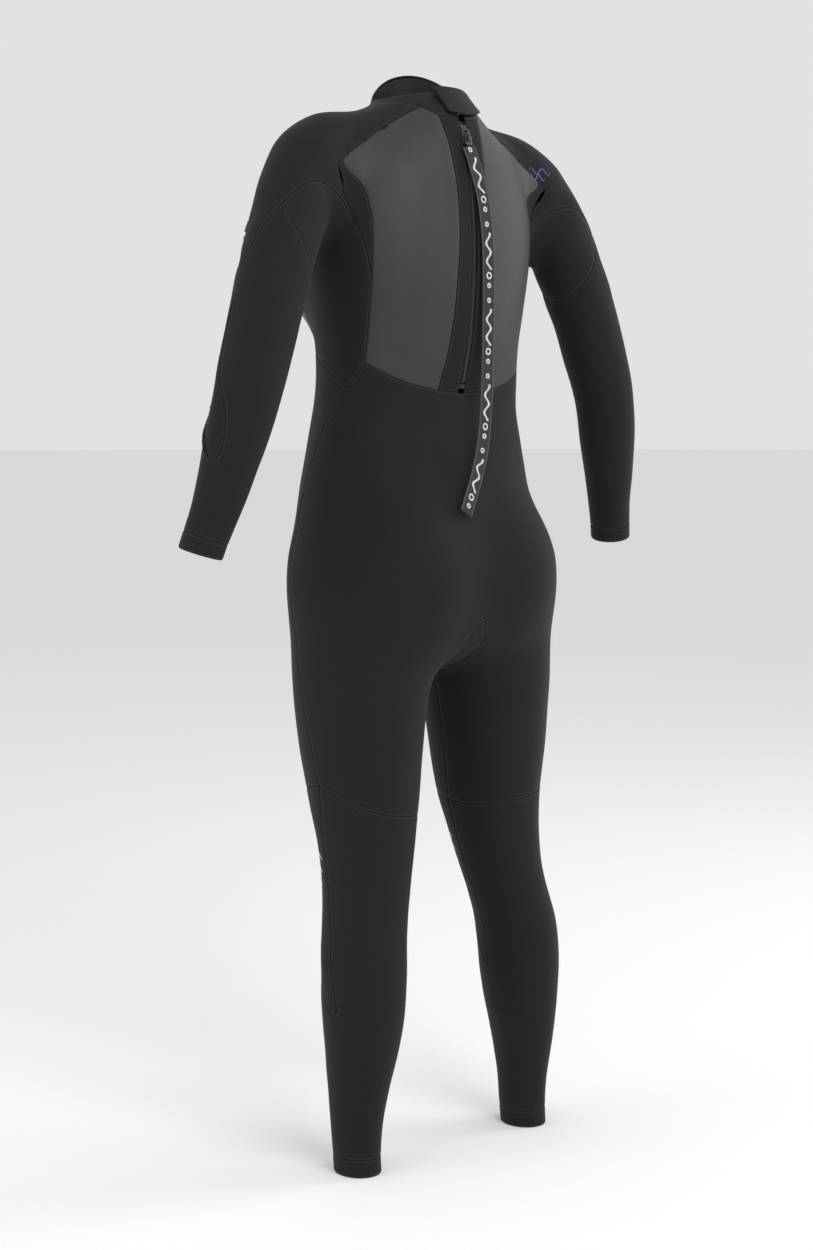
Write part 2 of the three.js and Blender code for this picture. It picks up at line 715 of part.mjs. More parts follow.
function lowerBody() {
  const seat = gridBetween(chain('-waistBackTip', 'waistAtBack', 'waistAtStrip'), chain('seatRow'),
    chain('sideSeamUpper'), chain('seatLine'));
  const thighBack = gridBetween(chain('seatRow'), chain('kneeBack'),
    chain('sideSeamLower'), chain('gussetBack', 'innerSeam'));
  addWhole('seat_panel', [seat, thighBack], jersey);
  const belly = gridBetween(chain('waistSide', 'waistAtChest'), chain('hipRow'),
    chain('sideSeamUpper'), chain('bellyLine'));
  const thighFront = gridBetween(chain('hipRow'), chain('kneeFront'),
    chain('sideSeamLower'), chain('gussetFront', 'innerSeam'));
  addWhole('front_panel', [belly, thighFront], jersey);
  const edge = chain('gussetBack', '-gussetFront');
  const other = mirrored([edge])[0];
  const start = edge[0];
  const end = edge[edge.length - 1];
  add('crotch_gusset', slab([gridBetween([start, start, start], [end, end, end], edge, other)]), jersey);
}

function lowerLegs() {
  const knee = gridBetween(chain('kneeFront'), chain('kneeLowEdge'),
    chain('kneeOuterEdge'), chain('kneeInnerEdge'));
  addPair('knee_panel', [knee], kneeFabric);
  const calf = gridBetween(chain('kneeBack'), chain('calfRow'),
    chain('kneeOuterEdge'), chain('kneeInnerEdge'));
  const shinTop = chain('-calfRow', 'kneeLowEdge');
  const steps = shinTop.length - 1;
  const hemRing = legRing(hemLength, steps);
  const floorRing = legRing(0, steps);
  const innerLine = legInnerSeam(shinTop[0], hemRing[0]);
  const shin = gridBetween(shinTop, hemRing, innerLine, innerLine);
  shin.slit = true;
  addPair('calf_panel', [calf, shin], jersey);
  const hem = gridBetween(hemRing, floorRing, [hemRing[0], floorRing[0]], [hemRing[steps], floorRing[steps]]);
  addPair('ankle_hem', [hem], jersey, neopreneWall, true);
}

function legInnerSeam(top, bottom) {
  const curve = new THREE.CatmullRomCurve3([
    top, vector([89, 46, 165]), vector([101, 46, 112]), vector([111, 45, 60]), bottom,
  ]);
  const points = curve.getSpacedPoints(6).map((point) => settle(point));
  points[0] = top.clone();
  points[points.length - 1] = bottom.clone();
  return points;
}

function collar() {
  const seam = chain('collarAtStrip', 'collarAtBack', 'collarAtShoulder', 'collarAtChest');
  const last = seam.length - 1;
  const [left, right] = [1, -1].map((side) => {
    const rim = collarRim(seam, side);
    return gridBetween(rim, seam, straight(rim[0], seam[0], 2), straight(rim[last], seam[last], 2));
  });
  add('collar_band', slab([left, mirrored(right)]), collarRubber);
}

// ---- The zip ----

const zipTop = 1286;
const zipBottom = 966;

// A slab across the middle of the back, between two heights, on the sheet at `level`.
function backSlab([startX, endX], [low, high], level, wall, [columns, rows]) {
  const grid = [];
  for (let r = 0; r <= rows; r++) {
    const z = THREE.MathUtils.lerp(high, low, r / rows);
    const line = [];
    for (let c = 0; c <= columns; c++) {
      const x = THREE.MathUtils.lerp(startX, endX, c / columns);
      const point = settle(new THREE.Vector3(x, (arcBack(z) + level) * girthScale, z * heightScale), level);
      line.push(new THREE.Vector3(x, point.y, z * heightScale));
    }
    grid.push(line);
  }
  return slab([grid], wall);
}

function zip() {
  const tapeLevel = -neopreneWall - layerGap;
  const flapLevel = tapeLevel - zipTapeWall - layerGap;
  const toothLevel = -runningGap;
  const teeth = [zipBottom + stopLength, zipTop - stopLength];
  for (const [name, side] of [['left', 1], ['right', -1]]) {
    const span = (outer) => side > 0 ? [0, outer] : [-outer, 0];
    const tapeSlab = backSlab(span(zipTapeWidth), [zipBottom, zipTop], tapeLevel, zipTapeWall, [2, 16]);
    add(`zip_tape_${name}`, tapeSlab, tape);
    const row = backSlab(span(halfSlit), teeth, toothLevel, toothDepth, [1, 16]);
    add(`zip_teeth_${name}`, row, plastic);
    const stop = backSlab(span(halfSlit), [teeth[1], zipTop], toothLevel, toothDepth, [1, 1]);
    add(`top_stop_${name}`, stop, plastic);
  }
  const slit = [-halfSlit, halfSlit];
  add('bottom_stop', backSlab(slit, [zipBottom, teeth[0]], toothLevel, toothDepth, [2, 1]), plastic);
  const wide = [-zipFlapWidth / 2, zipFlapWidth / 2];
  const tall = [zipBottom, zipTop + stopLength];
  add('zip_flap', backSlab(wide, tall, flapLevel, zipFlapWall, [4, 12]), jersey);
}

// Where the slider stands when the zip is shut, as an angle round the zip's arc.
const sliderShut = Math.asin((zipTop - stopLength - slider.length / 2 - zipArc.z) / zipArc.radius);

// Puts a piece that is drawn with x across, y out of the back and z along the zip onto the arc.
function onTrack(geometry, angle, out) {
  geometry.rotateX(angle);
  const reach = zipArc.radius + out;
  geometry.translate(0, (zipArc.y + reach * Math.cos(angle)) * girthScale,
    (zipArc.z + reach * Math.sin(angle)) * heightScale);
  return geometry;
}

function solidOf(geometry) {
  geometry.deleteAttribute('normal');
  geometry.deleteAttribute('uv');
  const merged = mergeVertices(geometry);
  return new wasm.Manifold(new wasm.Mesh({
    numProp: 3,
    vertProperties: merged.attributes.position.array,
    triVerts: Uint32Array.from(merged.index.array),
  }));
}

function geometryOfSolid(solid) {
  const mesh = solid.getMesh();
  const geometry = new THREE.BufferGeometry();
  geometry.setAttribute('position', new THREE.BufferAttribute(mesh.vertProperties, 3));
  geometry.setIndex(new THREE.BufferAttribute(mesh.triVerts, 1));
  return geometry;
}

function roundedOutline(path, width, length, corner) {
  const x = width / 2;
  const y = length / 2;
  path.moveTo(-x + corner, -y);
  path.lineTo(x - corner, -y);
  path.absarc(x - corner, -y + corner, corner, -Math.PI / 2, 0, false);
  path.absarc(x - corner, y - corner, corner, 0, Math.PI / 2, false);
  path.absarc(-x + corner, y - corner, corner, Math.PI / 2, Math.PI, false);
  path.absarc(-x + corner, -y + corner, corner, Math.PI, 1.5 * Math.PI, false);
  return path;
}

// A flat plate drawn in x and z, from y = 0 outwards to its thickness.
function plateOf(shape, thickness) {
  const cut = { depth: thickness, bevelEnabled: false, curveSegments: 4 };
  const geometry = new THREE.ExtrudeGeometry(shape, cut);
  return geometry.rotateX(Math.PI / 2).translate(0, thickness, 0);
}

function zipSlider() {
  const plate = plateOf(roundedOutline(new THREE.Shape(), slider.width, slider.length, 4), slider.plate);
  const reach = slider.length / 2 - 3;
  const top = slider.plate + slider.bridgeRoom;
  const arch = new THREE.Shape();
  arch.moveTo(-reach, slider.plate / 2);
  arch.lineTo(-reach, top);
  arch.lineTo(-reach + 2, top + slider.bridgeWall);
  arch.lineTo(reach - 2, top + slider.bridgeWall);
  arch.lineTo(reach, top);
  arch.lineTo(reach, slider.plate / 2);
  arch.lineTo(reach - slider.bridgeWall, slider.plate / 2);
  arch.lineTo(reach - slider.bridgeWall, top);
  arch.lineTo(-reach + slider.bridgeWall, top);
  arch.lineTo(-reach + slider.bridgeWall, slider.plate / 2);
  const bridge = new THREE.ExtrudeGeometry(arch, { depth: slider.bridgeWidth, bevelEnabled: false });
  bridge.rotateY(-Math.PI / 2).translate(slider.bridgeWidth / 2, 0, 0);
  const body = geometryOfSolid(solidOf(plate).add(solidOf(bridge)));
  add('zip_slider', onTrack(body, sliderShut, runningGap), plastic);
}

// The pull hangs by its top bar, in the middle of the slider's bridge.
const pullOut = runningGap + slider.plate + (slider.bridgeRoom - pull.wall) / 2;

function pullTab() {
  const shape = roundedOutline(new THREE.Shape(), pull.width, pull.length, 2.5);
  const eye = roundedOutline(new THREE.Path(), pull.eyeWidth, pull.eyeLength, 1.2);
  const eyeMiddle = (pull.length - pull.eyeLength) / 2 - pull.bar;
  const eyePoints = eye.getPoints(3).map((p) => new THREE.Vector2(p.x, p.y + eyeMiddle));
  shape.holes.push(new THREE.Path(eyePoints));
  const plate = plateOf(shape, pull.wall).translate(0, 0, -pull.length / 2 + pull.bar / 2);
  add('pull_tab', onTrack(plate, sliderShut, pullOut), plastic);
}

// The leash's own middle line, from under the pull down the back to its free end.
const leashPoints = [
  [0, 89.5, 1258.2],
  [-3, 93.5, 1244],
  [-8, 98.6, 1220],
  [-13, 102.8, 1190],
  [-16.5, 105, 1155],
  [-18, 106, 1120],
  [-18.5, 106, 1080],
  [-18.5, 105.5, 1040],
  [-18, 105, 1000],
  [-17, 104.8, 960],
  [-14, 105.4, 925],
  [-8, 107, 893],
  [2, 109.5, 864],
  [12, 112, 842],
  [21, 114.5, 826],
  [28, 117, 814],
];
const leashSteps = 64;

function leashStrap() {
  const line = new THREE.CatmullRomCurve3(leashPoints.map(([x, y, z]) => new THREE.Vector3(x, y, z)));
  const section = new THREE.Shape();
  const half = leash.width / 2;
  section.moveTo(-half, -leash.wall / 2);
  section.lineTo(half, -leash.wall / 2);
  section.lineTo(half, leash.wall / 2);
  section.lineTo(-half, leash.wall / 2);
  add('leash', new THREE.ExtrudeGeometry(section, { steps: leashSteps, extrudePath: line }), webbing);
}

// ---- The collar's closure ----

function edgeAt(points, steps, level) {
  const curve = new THREE.CatmullRomCurve3(points);
  return curve.getSpacedPoints(steps).map((point) => settle(point, level));
}

// A slab wrapped round the back of the neck between two sides, given by its corners.
function neckSlab({ top, bottom, level, wall, steps: [columns, rows] }) {
  const topEdge = edgeAt(top.map(vector), columns, level);
  const bottomEdge = edgeAt(bottom.map(vector), columns, level);
  const left = edgeAt([topEdge[0], bottomEdge[0]], rows, level);
  const right = edgeAt([topEdge[columns], bottomEdge[columns]], rows, level);
  for (const [side, column] of [[left, 0], [right, columns]]) {
    side[0] = topEdge[column];
    side[rows] = bottomEdge[column];
  }
  return slab([gridBetween(topEdge, bottomEdge, left, right, level)], wall);
}

function collarClosure() {
  const loopLevel = layerGap + patchWall;
  const hookLevel = loopLevel + runningGap + patchWall;
  const tabLevel = hookLevel + layerGap + tab.wall;
  add('collar_tab', neckSlab({
    top: [[tab.root, 40, 1325], [0, 45, 1325], [-25, 42, 1326], [-tab.reach, 36, 1320]],
    bottom: [[tab.root, 73, 1298], [0, 77, 1296], [-20, 73, 1298], [-tab.reach + 8, 58, 1303]],
    level: tabLevel, wall: tab.wall, steps: [10, 4],
  }), collarRubber);
  const patchTop = [[-12, 43, 1322], [-26, 40, 1322], [-tab.reach + 8, 33, 1319]];
  const patchBottom = [[-12, 72, 1301], [-22, 68, 1302], [-tab.reach + 14, 58, 1305]];
  for (const [name, level] of [['loop_patch', loopLevel], ['hook_patch', hookLevel]]) {
    const patch = { top: patchTop, bottom: patchBottom, level, wall: patchWall, steps: [5, 3] };
    add(name, neckSlab(patch), fastener);
  }
  add('tab_root', neckSlab({
    top: [[tab.root - 1, 40, 1323], [tab.root - 11, 44, 1323]],
    bottom: [[tab.root - 1, 72, 1299], [tab.root - 11, 75, 1299]],
    level: hookLevel, wall: hookLevel - layerGap, steps: [2, 4],
  }), collarRubber);
}

backPanels();
chestPanel();
shoulderPanels();
underarmPanels();
sleeves();
lowerBody();
lowerLegs();
collar();
zip();
zipSlider();
pullTab();
leashStrap();
collarClosure();

export default suit;
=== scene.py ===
"""A full wetsuit with a back zip: fine foam rubber panels, zip, leash and collar tab."""

import math

import bmesh
import bpy
import numpy as np
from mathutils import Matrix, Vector, noise
from mathutils.bvhtree import BVHTree
from mathutils.kdtree import KDTree


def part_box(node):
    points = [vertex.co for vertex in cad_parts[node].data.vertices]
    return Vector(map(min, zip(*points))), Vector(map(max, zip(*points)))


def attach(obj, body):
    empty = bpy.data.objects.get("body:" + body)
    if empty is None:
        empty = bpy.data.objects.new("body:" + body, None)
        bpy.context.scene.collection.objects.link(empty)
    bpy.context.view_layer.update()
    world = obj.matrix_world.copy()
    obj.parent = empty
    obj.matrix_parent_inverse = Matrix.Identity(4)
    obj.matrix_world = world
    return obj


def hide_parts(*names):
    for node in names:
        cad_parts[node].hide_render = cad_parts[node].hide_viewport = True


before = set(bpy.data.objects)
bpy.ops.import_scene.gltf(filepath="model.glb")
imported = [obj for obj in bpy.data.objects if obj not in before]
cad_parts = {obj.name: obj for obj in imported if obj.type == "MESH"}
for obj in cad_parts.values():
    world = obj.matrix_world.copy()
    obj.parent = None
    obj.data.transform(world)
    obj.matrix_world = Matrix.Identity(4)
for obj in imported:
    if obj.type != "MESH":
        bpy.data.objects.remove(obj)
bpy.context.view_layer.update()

MM = 0.001
WALL = 3 * MM

JERSEY = ["zip_strip", "shoulder_panel", "underarm_panel", "sleeve", "cuff", "calf_panel", "ankle_hem"]
KNEE_FABRIC = ["elbow_panel", "knee_panel"]
PANELS = {
    **{f"{name}_{side}": "jersey" for name in JERSEY for side in ("left", "right")},
    **{f"{name}_{side}": "knee_fabric" for name in KNEE_FABRIC for side in ("left", "right")},
    "seat_panel": "jersey",
    "front_panel": "jersey",
    "crotch_gusset": "jersey",
    "back_panel_left": "smooth_skin",
    "back_panel_right": "smooth_skin",
    "chest_panel": "smooth_skin",
    "collar_band": "collar_rubber",
}

# ---- The camera ----

CAMERA_AT = Vector((1.7189, 1.9508, 0.900))
CAMERA_TO = Vector((0.0129, -0.0112, 0.668))


def make_camera():
    data = bpy.data.cameras.new("camera")
    data.sensor_width = 36
    data.lens = 58.95
    camera = bpy.data.objects.new("camera", data)
    camera.location = CAMERA_AT
    camera.rotation_euler = (CAMERA_TO - CAMERA_AT).to_track_quat("-Z", "Y").to_euler()
    bpy.context.scene.collection.objects.link(camera)
    bpy.context.scene.camera = camera


make_camera()

# ---- Materials ----


class Look:
    """A material's node tree, built with short calls."""

    def __init__(self, name):
        self.material = bpy.data.materials.new(name)
        self.material.use_nodes = True
        self.nodes = self.material.node_tree.nodes
        self.links = self.material.node_tree.links
        self.shader = self.nodes["Principled BSDF"]

    def feed(self, socket, value):
        if isinstance(value, bpy.types.NodeSocket):
            self.links.new(value, socket)
        else:
            socket.default_value = value

    def place(self):
        """The point in the suit's own frame, in metres."""
        return self.nodes.new("ShaderNodeTexCoord").outputs["Object"]

    def attribute(self, name):
        node = self.nodes.new("ShaderNodeAttribute")
        node.attribute_name = name
        return node.outputs["Fac"]

    def scaled(self, point, scale):
        node = self.nodes.new("ShaderNodeVectorMath")
        node.operation = "MULTIPLY"
        self.feed(node.inputs[0], point)
        node.inputs[1].default_value = scale
        return node.outputs[0]

    def noise(self, point, scale, detail=2.0, rough=0.5):
        node = self.nodes.new("ShaderNodeTexNoise")
        self.feed(node.inputs["Vector"], point)
        node.inputs["Scale"].default_value = scale
        node.inputs["Detail"].default_value = detail
        node.inputs["Roughness"].default_value = rough
        return node.outputs["Fac"]

    def cells(self, point, scale):
        node = self.nodes.new("ShaderNodeTexVoronoi")
        self.feed(node.inputs["Vector"], point)
        node.inputs["Scale"].default_value = scale
        return node.outputs["Distance"]

    def math(self, kind, a, b=0.0, c=0.0):
        node = self.nodes.new("ShaderNodeMath")
        node.operation = kind
        for socket, value in zip(node.inputs, (a, b, c)):
            self.feed(socket, value)
        return node.outputs[0]

    def span(self, value, low, high, to_low=0.0, to_high=1.0):
        node = self.nodes.new("ShaderNodeMapRange")
        for socket, item in zip(node.inputs, (value, low, high, to_low, to_high)):
            self.feed(socket, item)
        return node.outputs[0]

    def mix(self, share, a, b):
        node = self.nodes.new("ShaderNodeMix")
        node.data_type = "RGBA"
        self.feed(node.inputs[0], share)
        for socket, color in ((node.inputs[6], a), (node.inputs[7], b)):
            self.feed(socket, color if isinstance(color, bpy.types.NodeSocket) else (*color, 1))
        return node.outputs[2]

    def bump(self, height, distance, strength=1.0, under=None):
        node = self.nodes.new("ShaderNodeBump")
        self.feed(node.inputs["Height"], height)
        node.inputs["Distance"].default_value = distance
        node.inputs["Strength"].default_value = strength
        if under:
            self.links.new(under, node.inputs["Normal"])
        return node.outputs["Normal"]

    def set(self, **values):
        for name, value in values.items():
            self.feed(self.shader.inputs[name.replace("_", " ")], value)
        return self.material


def stitches(look):
    """Short slanted threads beside a panel's seams: more than zero on a thread."""
    along = look.attribute("seam_turns")
    away = look.attribute("seam_away")
    lean = look.math("MULTIPLY_ADD", away, 0.16, along)
    phase = look.math("PINGPONG", lean, 0.5)
    thread = look.span(phase, 0.16, 0.26, 1.0, 0.0)
    band = look.math("MULTIPLY", look.span(away, 0.7, 0.95), look.span(away, 2.7, 3.0, 1.0, 0.0))
    return look.math("MULTIPLY", thread, band)


def foam(name, color, light, rough, knit, depth, sheen):
    """Foam rubber under a knit: loops, soft patches of tone, and stitched seams."""
    look = Look(name)
    point = look.place()
    loops = look.cells(look.scaled(point, (1.0, 1.0, 0.62)), knit)
    fluff = look.noise(point, knit * 0.45, 3.0)
    patches = look.noise(point, 9.0, 3.0, 0.6)
    tone = look.math("ADD", look.math("MULTIPLY", patches, 0.35), look.math("MULTIPLY", loops, 0.55))
    cloth = look.mix(look.span(tone, 0.15, 0.85), color, light)
    thread = stitches(look)
    thread_color = tuple(2.2 * part for part in light)
    worn = look.bump(look.noise(point, 34.0, 4.0, 0.6), 0.5 * MM, 0.16)
    weave = look.bump(look.math("ADD", loops, look.math("MULTIPLY", fluff, 0.5)), depth, 0.7, worn)
    stitched = look.bump(thread, 0.45 * MM, 1.0, weave)
    roughness = look.span(patches, 0.2, 0.8, rough - 0.06, rough + 0.06)
    look.set(Base_Color=look.mix(thread, cloth, thread_color), Roughness=roughness, Normal=stitched)
    look.set(Sheen_Weight=sheen, Sheen_Roughness=0.45, Specular_IOR_Level=0.14)
    return look.material


def smooth_skin():
    """Foam rubber with its own skin: faintly pebbled, with a soft shine."""
    look = Look("smooth_skin")
    point = look.place()
    pebbles = look.cells(point, 900.0)
    clouds = look.noise(point, 7.0, 4.0, 0.62)
    streaks = look.noise(look.scaled(point, (1.0, 1.0, 0.14)), 46.0, 3.0, 0.6)
    tone = look.math("ADD", look.math("MULTIPLY", clouds, 0.62), look.math("MULTIPLY", streaks, 0.38))
    color = look.mix(look.span(tone, 0.3, 0.72), (0.022, 0.022, 0.0225), (0.034, 0.034, 0.0345))
    scuffs = look.bump(streaks, 0.35 * MM, 0.18)
    grain = look.bump(pebbles, 0.12 * MM, 0.4, scuffs)
    look.set(Base_Color=color, Normal=grain, Roughness=look.span(clouds, 0.25, 0.75, 0.46, 0.6))
    look.set(Specular_IOR_Level=0.3, Sheen_Weight=0.05, Sheen_Roughness=0.5)
    return look.material


def collar_rubber():
    look = Look("collar_rubber")
    point = look.place()
    ribs = look.noise(look.scaled(point, (1.0, 1.0, 3.0)), 520.0, 2.0)
    clouds = look.noise(point, 14.0, 3.0, 0.6)
    color = look.mix(look.span(clouds, 0.3, 0.75), (0.0095, 0.0095, 0.0102), (0.015, 0.015, 0.0158))
    look.set(Base_Color=color, Normal=look.bump(ribs, 0.14 * MM, 0.6))
    look.set(Roughness=look.span(clouds, 0.2, 0.8, 0.54, 0.66), Specular_IOR_Level=0.18)
    return look.material


def plastic(name, color, rough):
    look = Look(name)
    point = look.place()
    grain = look.noise(point, 2600.0, 2.0)
    wear = look.noise(point, 260.0, 4.0, 0.65)
    tone = look.mix(look.span(wear, 0.45, 0.8), color, tuple(1.9 * part for part in color))
    look.set(Base_Color=tone, Normal=look.bump(grain, 0.05 * MM, 0.5))
    look.set(Roughness=look.span(wear, 0.3, 0.7, rough - 0.07, rough + 0.1))
    return look.material


def fibres(name, color, light, scale, depth):
    """Fine cloth with no clear direction: tape, flap, hook and loop pile."""
    look = Look(name)
    point = look.place()
    loops = look.cells(point, scale)
    tufts = look.noise(point, scale * 0.6, 4.0, 0.7)
    tone = look.math("ADD", look.math("MULTIPLY", loops, 0.6), look.math("MULTIPLY", tufts, 0.6))
    look.set(Base_Color=look.mix(look.span(tone, 0.2, 0.9), color, light))
    look.set(Normal=look.bump(tone, depth), Roughness=0.9, Sheen_Weight=0.25, Sheen_Roughness=0.5)
    return look.material


def webbing():
    """Black woven webbing with paler edges and a light wave-and-dots print."""
    look = Look("webbing")
    along = look.attribute("strap_along")
    across = look.attribute("strap_across")
    slant = look.math("MULTIPLY_ADD", across, 4.0, look.math("MULTIPLY", along, 900.0))
    twill = look.math("PINGPONG", slant, 0.5)
    ribs = look.math("PINGPONG", look.math("MULTIPLY", across, 9.0), 0.5)
    weave = look.math("MULTIPLY", twill, look.span(ribs, 0.02, 0.2))
    step = look.math("FRACT", look.math("DIVIDE", along, 0.092))
    place = look.math("MULTIPLY", step, 92.0)
    wave = look.math("MULTIPLY", look.math("SINE", look.math("MULTIPLY", place, 0.29)), 0.36)
    line = look.math("ABSOLUTE", look.math("SUBTRACT", across, wave))
    in_wave = look.math("MULTIPLY", look.span(place, 14.0, 14.6), look.span(place, 58.4, 59.0, 1.0, 0.0))
    ink = look.math("MULTIPLY", look.span(line, 0.15, 0.2, 1.0, 0.0), in_wave)
    for middle, radius in ((66.0, 4.6), (78.0, 3.4), (4.0, 3.4)):
        dx = look.math("SUBTRACT", place, middle)
        dy = look.math("MULTIPLY", across, 10.0)
        squares = look.math("ADD", look.math("MULTIPLY", dx, dx), look.math("MULTIPLY", dy, dy))
        gap = look.math("SQRT", squares)
        ring = look.math("ABSOLUTE", look.math("SUBTRACT", gap, radius - 1.1))
        ink = look.math("MAXIMUM", ink, look.span(ring, 0.9, 1.15, 1.0, 0.0))
    worn = look.noise(look.place(), 420.0, 3.0, 0.6)
    ink = look.math("MULTIPLY", ink, look.span(worn, 0.3, 0.5, 0.55, 1.0))
    edge = look.span(look.math("ABSOLUTE", across), 0.84, 0.9)
    cloth = look.mix(weave, (0.006, 0.006, 0.0065), (0.019, 0.019, 0.02))
    edged = look.mix(look.math("MULTIPLY", edge, 0.6), cloth, (0.09, 0.09, 0.095))
    look.set(Base_Color=look.mix(ink, edged, (0.55, 0.55, 0.55)), Roughness=0.82)
    look.set(Normal=look.bump(weave, 0.25 * MM), Sheen_Weight=0.2, Sheen_Roughness=0.4)
    return look.material


def print_ink(name, color):
    look = Look(name)
    point = look.place()
    cracks = look.cells(point, 300.0)
    tone = look.mix(look.span(cracks, 0.2, 0.7), tuple(0.82 * part for part in color), color)
    look.set(Base_Color=tone, Roughness=0.55, Normal=look.bump(cracks, 0.05 * MM, 0.5))
    return look.material


def embroidery():
    look = Look("embroidery")
    point = look.place()
    threads = look.noise(look.scaled(point, (1.0, 1.0, 0.3)), 2400.0, 2.0)
    look.set(Base_Color=look.mix(threads, (0.018, 0.035, 0.16), (0.05, 0.09, 0.34)), Roughness=0.45)
    look.set(Normal=look.bump(threads, 0.15 * MM), Sheen_Weight=0.4, Sheen_Roughness=0.3)
    return look.material


LOOKS = {
    "jersey": foam("jersey", (0.0078, 0.0078, 0.0084), (0.0135, 0.0135, 0.0143),
                   rough=0.74, knit=1150.0, depth=0.16 * MM, sheen=0.05),
    "smooth_skin": smooth_skin(),
    "knee_fabric": foam("knee_fabric", (0.006, 0.006, 0.0065), (0.011, 0.011, 0.0116),
                        rough=0.7, knit=620.0, depth=0.3 * MM, sheen=0.04),
    "collar_rubber": collar_rubber(),
    "zip_tape": fibres("zip_tape", (0.005, 0.005, 0.0055), (0.014, 0.014, 0.015), 1500.0, 0.2 * MM),
    "zip_plastic": plastic("zip_plastic", (0.013, 0.013, 0.014), 0.38),
    "hook_and_loop": fibres("hook_and_loop", (0.004, 0.004, 0.0045), (0.02, 0.02, 0.021), 1100.0, 0.5 * MM),
    "webbing": webbing(),
    "lining": fibres("lining", (0.012, 0.012, 0.013), (0.028, 0.028, 0.03), 1000.0, 0.18 * MM),
    "ink": print_ink("knee_ink", (0.62, 0.62, 0.62)),
    "embroidery": embroidery(),
}

# ---- Making pieces ----

SAME_POINT = 0.01 * MM


def make_piece(name, mesh, slot, body="suit", look=None, nodes=()):
    piece = bpy.data.objects.new(name, mesh)
    bpy.context.scene.collection.objects.link(piece)
    mesh.materials.clear()
    mesh.materials.append(LOOKS[look or slot])
    for face in mesh.polygons:
        face.use_smooth = True
    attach(piece, body)
    if nodes:
        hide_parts(*nodes)
    return piece


def mesh_of(name, points, faces):
    mesh = bpy.data.meshes.new(name)
    mesh.from_pydata([tuple(point) for point in points], [], faces)
    mesh.update()
    return mesh


def tree_of(mesh):
    """A search tree of a mesh's faces."""
    points = [vertex.co for vertex in mesh.vertices]
    return BVHTree.FromPolygons(points, [tuple(face.vertices) for face in mesh.polygons])


def with_modifiers(mesh, *steps):
    """The mesh with modifiers applied. Each step is a type and its settings."""
    holder = bpy.data.objects.new("holder", mesh)
    bpy.context.scene.collection.objects.link(holder)
    for kind, settings in steps:
        modifier = holder.modifiers.new(kind, kind)
        for key, value in settings.items():
            setattr(modifier, key, value)
    graph = bpy.context.evaluated_depsgraph_get()
    result = bpy.data.meshes.new_from_object(holder.evaluated_get(graph), depsgraph=graph)
    bpy.data.objects.remove(holder)
    return result


# ---- The leash, from under the pull down the back to its free end ----

LEASH_WIDTH = 20 * MM
LEASH_WALL = 1.7 * MM
POINTS_PER_SPAN = 14
LEASH_ROUTE = [
    (0, 89.5, 1258.2), (-3, 93.5, 1244), (-8, 98.6, 1220), (-13, 102.8, 1190),
    (-16.5, 105, 1155), (-18, 106, 1120), (-18.5, 106, 1080), (-18.5, 105.5, 1040),
    (-18, 105, 1000), (-17, 104.8, 960), (-14, 105.4, 925), (-8, 107, 893),
    (2, 109.5, 864), (12, 112, 842), (21, 114.5, 826), (28, 117, 814),
]


def smooth_route(route):
    """A centripetal Catmull-Rom curve through the points, in metres."""
    points = [Vector(point) * MM for point in route]
    points = [points[0] * 2 - points[1], *points, points[-1] * 2 - points[-2]]
    line = []
    for a, b, c, d in zip(points, points[1:], points[2:], points[3:]):
        t0 = 0.0
        t1 = t0 + (b - a).length ** 0.5
        t2 = t1 + (c - b).length ** 0.5
        t3 = t2 + (d - c).length ** 0.5
        for i in range(POINTS_PER_SPAN):
            t = t1 + (t2 - t1) * i / POINTS_PER_SPAN
            ab = a.lerp(b, (t - t0) / (t1 - t0))
            bc = b.lerp(c, (t - t1) / (t2 - t1))
            cd = c.lerp(d, (t - t2) / (t3 - t2))
            abc = ab.lerp(bc, (t - t0) / (t2 - t0))
            bcd = bc.lerp(cd, (t - t1) / (t3 - t1))
            line.append(abc.lerp(bcd, (t - t1) / (t2 - t1)))
    line.append(points[-2].copy())
    return line


def strap_section():
    """Half a strap's outline with soft edges, as shares of its half width and half wall."""
    outline = []
    flats = np.linspace(-0.93, 0.93, 13)
    outline += [(across, 1.0) for across in flats]
    outline += [(0.985, 0.7), (1.0, 0.0), (0.985, -0.7)]
    outline += [(across, -1.0) for across in flats[::-1]]
    outline += [(-0.985, -0.7), (-1.0, 0.0), (-0.985, 0.7)]
    return outline


